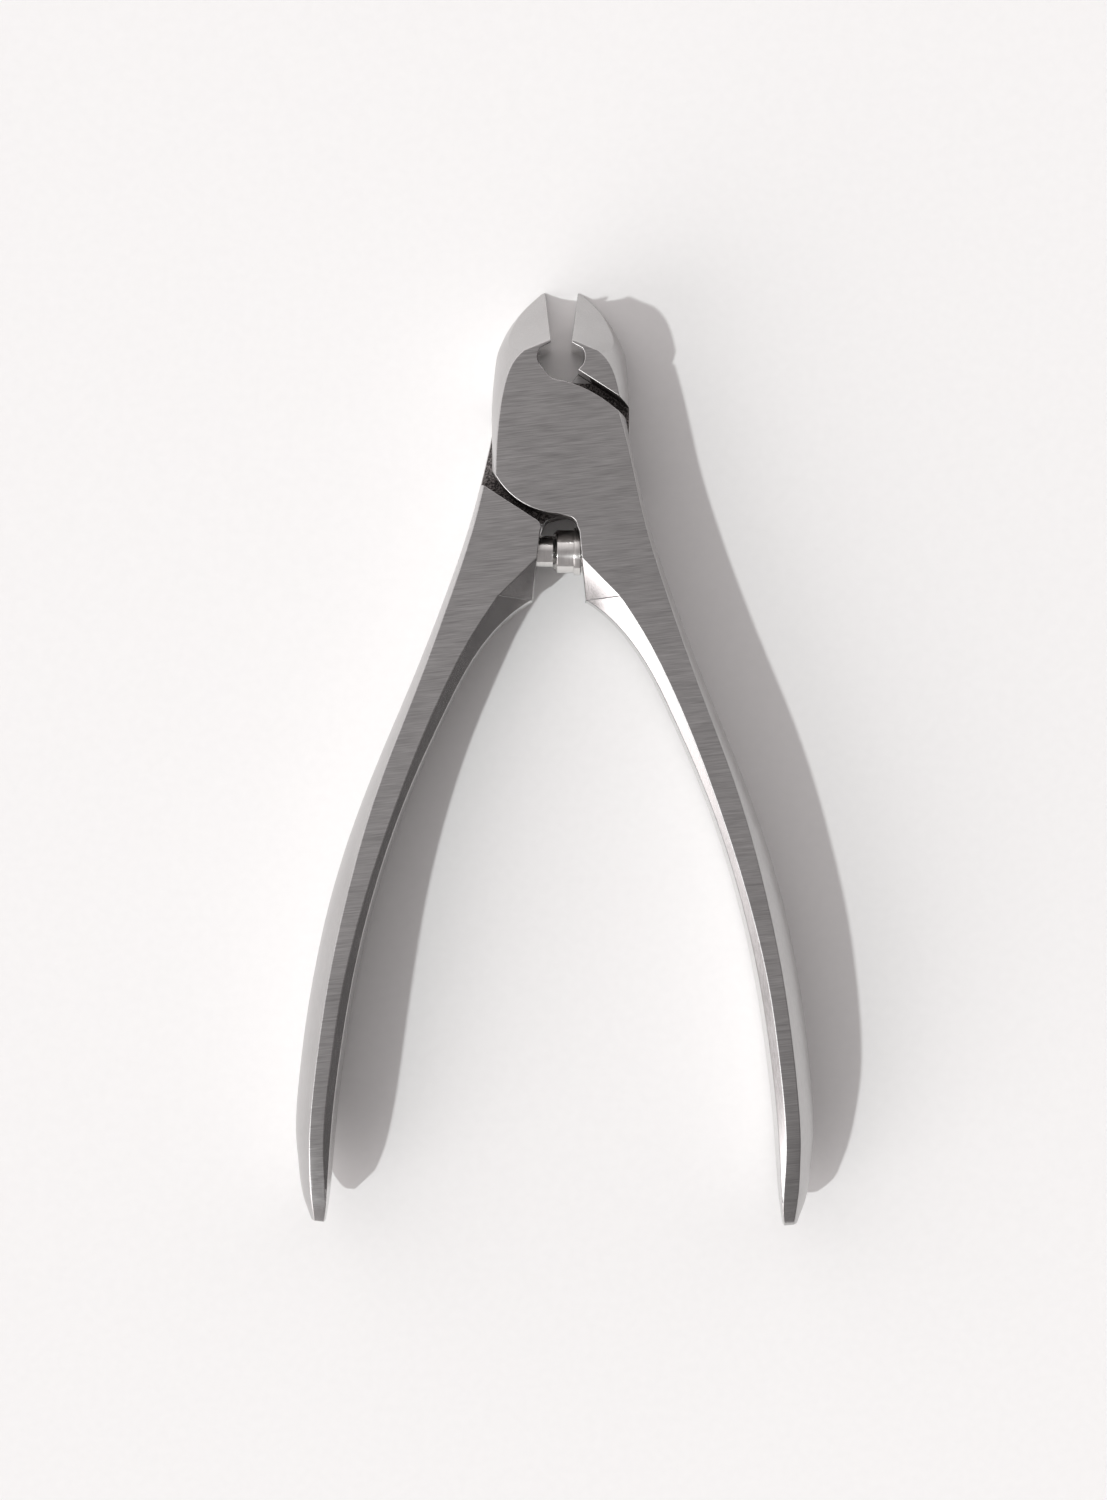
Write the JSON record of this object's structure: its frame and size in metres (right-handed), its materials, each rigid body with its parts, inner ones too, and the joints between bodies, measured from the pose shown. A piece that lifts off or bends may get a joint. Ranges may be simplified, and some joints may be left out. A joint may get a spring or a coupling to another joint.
{
  "type": "nail nipper",
  "caption": "Plier-type nail nipper in stainless steel: two lap-jointed levers with ground jaws, a flush rivet and a telescoping spring case that holds the handles open.",
  "frame": {"origin": "the pivot axis, where it leaves the flat back face of the joint", "axes": "+Y along the tool towards the jaws, +X to the right seen from the front, +Z out of the front face; the tool is modelled at rest, with the jaws open"},
  "size_m": [0.0662, 0.1199, 0.015],
  "materials": {
    "lever_steel": "ground faces with fine lines across the tool, satin outer sides",
    "rivet_steel": "ground flush with the joint's faces",
    "sleeve_steel": "turned and mirror polished",
    "spring_steel": "drawn wire, bright"
  },
  "bodies": {
    "front_lever": {"lever_front": "lever_steel", "pivot_rivet": "rivet_steel"},
    "back_lever": {"lever_back": "lever_steel"},
    "barrel": {"spring_barrel": "sleeve_steel", "coil_spring": "spring_steel"},
    "plunger": {"spring_plunger": "sleeve_steel"}
  },
  "joints": [
    {"name": "jaw_hinge", "type": "hinge", "parent": "front_lever", "child": "back_lever", "pos_m": [0, 0, 0.0061], "axis": [0, 0, 1], "range_deg": [-3, 12], "stiffness_Nm_per_rad": 0.4},
    {"name": "barrel_swivel", "type": "hinge", "parent": "front_lever", "child": "barrel", "pos_m": [0.00025, -0.014, 0.0061], "axis": [0, 0, 1], "range_deg": [-1.6, 6.1]},
    {"name": "plunger_slide", "type": "slide", "parent": "barrel", "child": "plunger", "axis": [1, 0, 0], "range_m": [-0.0008, 0.003], "deforming": ["coil_spring"]}
  ],
  "couplings": [
    {"joint": "barrel_swivel", "follows": "jaw_hinge", "ratio": 0.5},
    {"joint": "plunger_slide", "follows": "jaw_hinge", "m_per_rad": 0.014}
  ]
}
